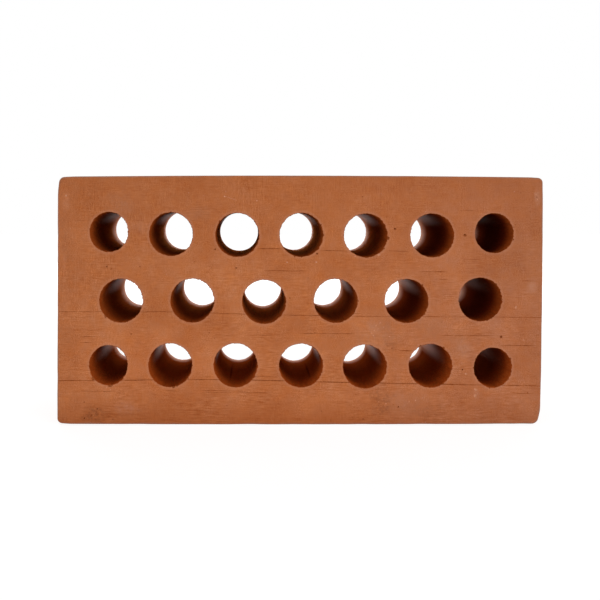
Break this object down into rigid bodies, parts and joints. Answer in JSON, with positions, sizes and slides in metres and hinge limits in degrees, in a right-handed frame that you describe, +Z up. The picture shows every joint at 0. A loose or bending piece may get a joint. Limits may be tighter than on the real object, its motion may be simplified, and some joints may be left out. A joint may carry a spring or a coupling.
{
  "type": "perforated terracotta breeze block",
  "caption": "Rectangular fired-clay breeze block standing on a long side, pierced front to back by three staggered rows of round through holes.",
  "frame": {"origin": "middle of the underside, on the floor that the block stands on", "axes": "+X along the length, +Y along the holes from the pictured face to the back, +Z up"},
  "size_m": [0.23, 0.075, 0.118],
  "materials": {
    "terracotta": "matt unglazed orange-brown fired clay, wire-cut on the pierced faces"
  },
  "bodies": {
    "root": {"breeze_block": "terracotta"}
  },
  "joints": []
}
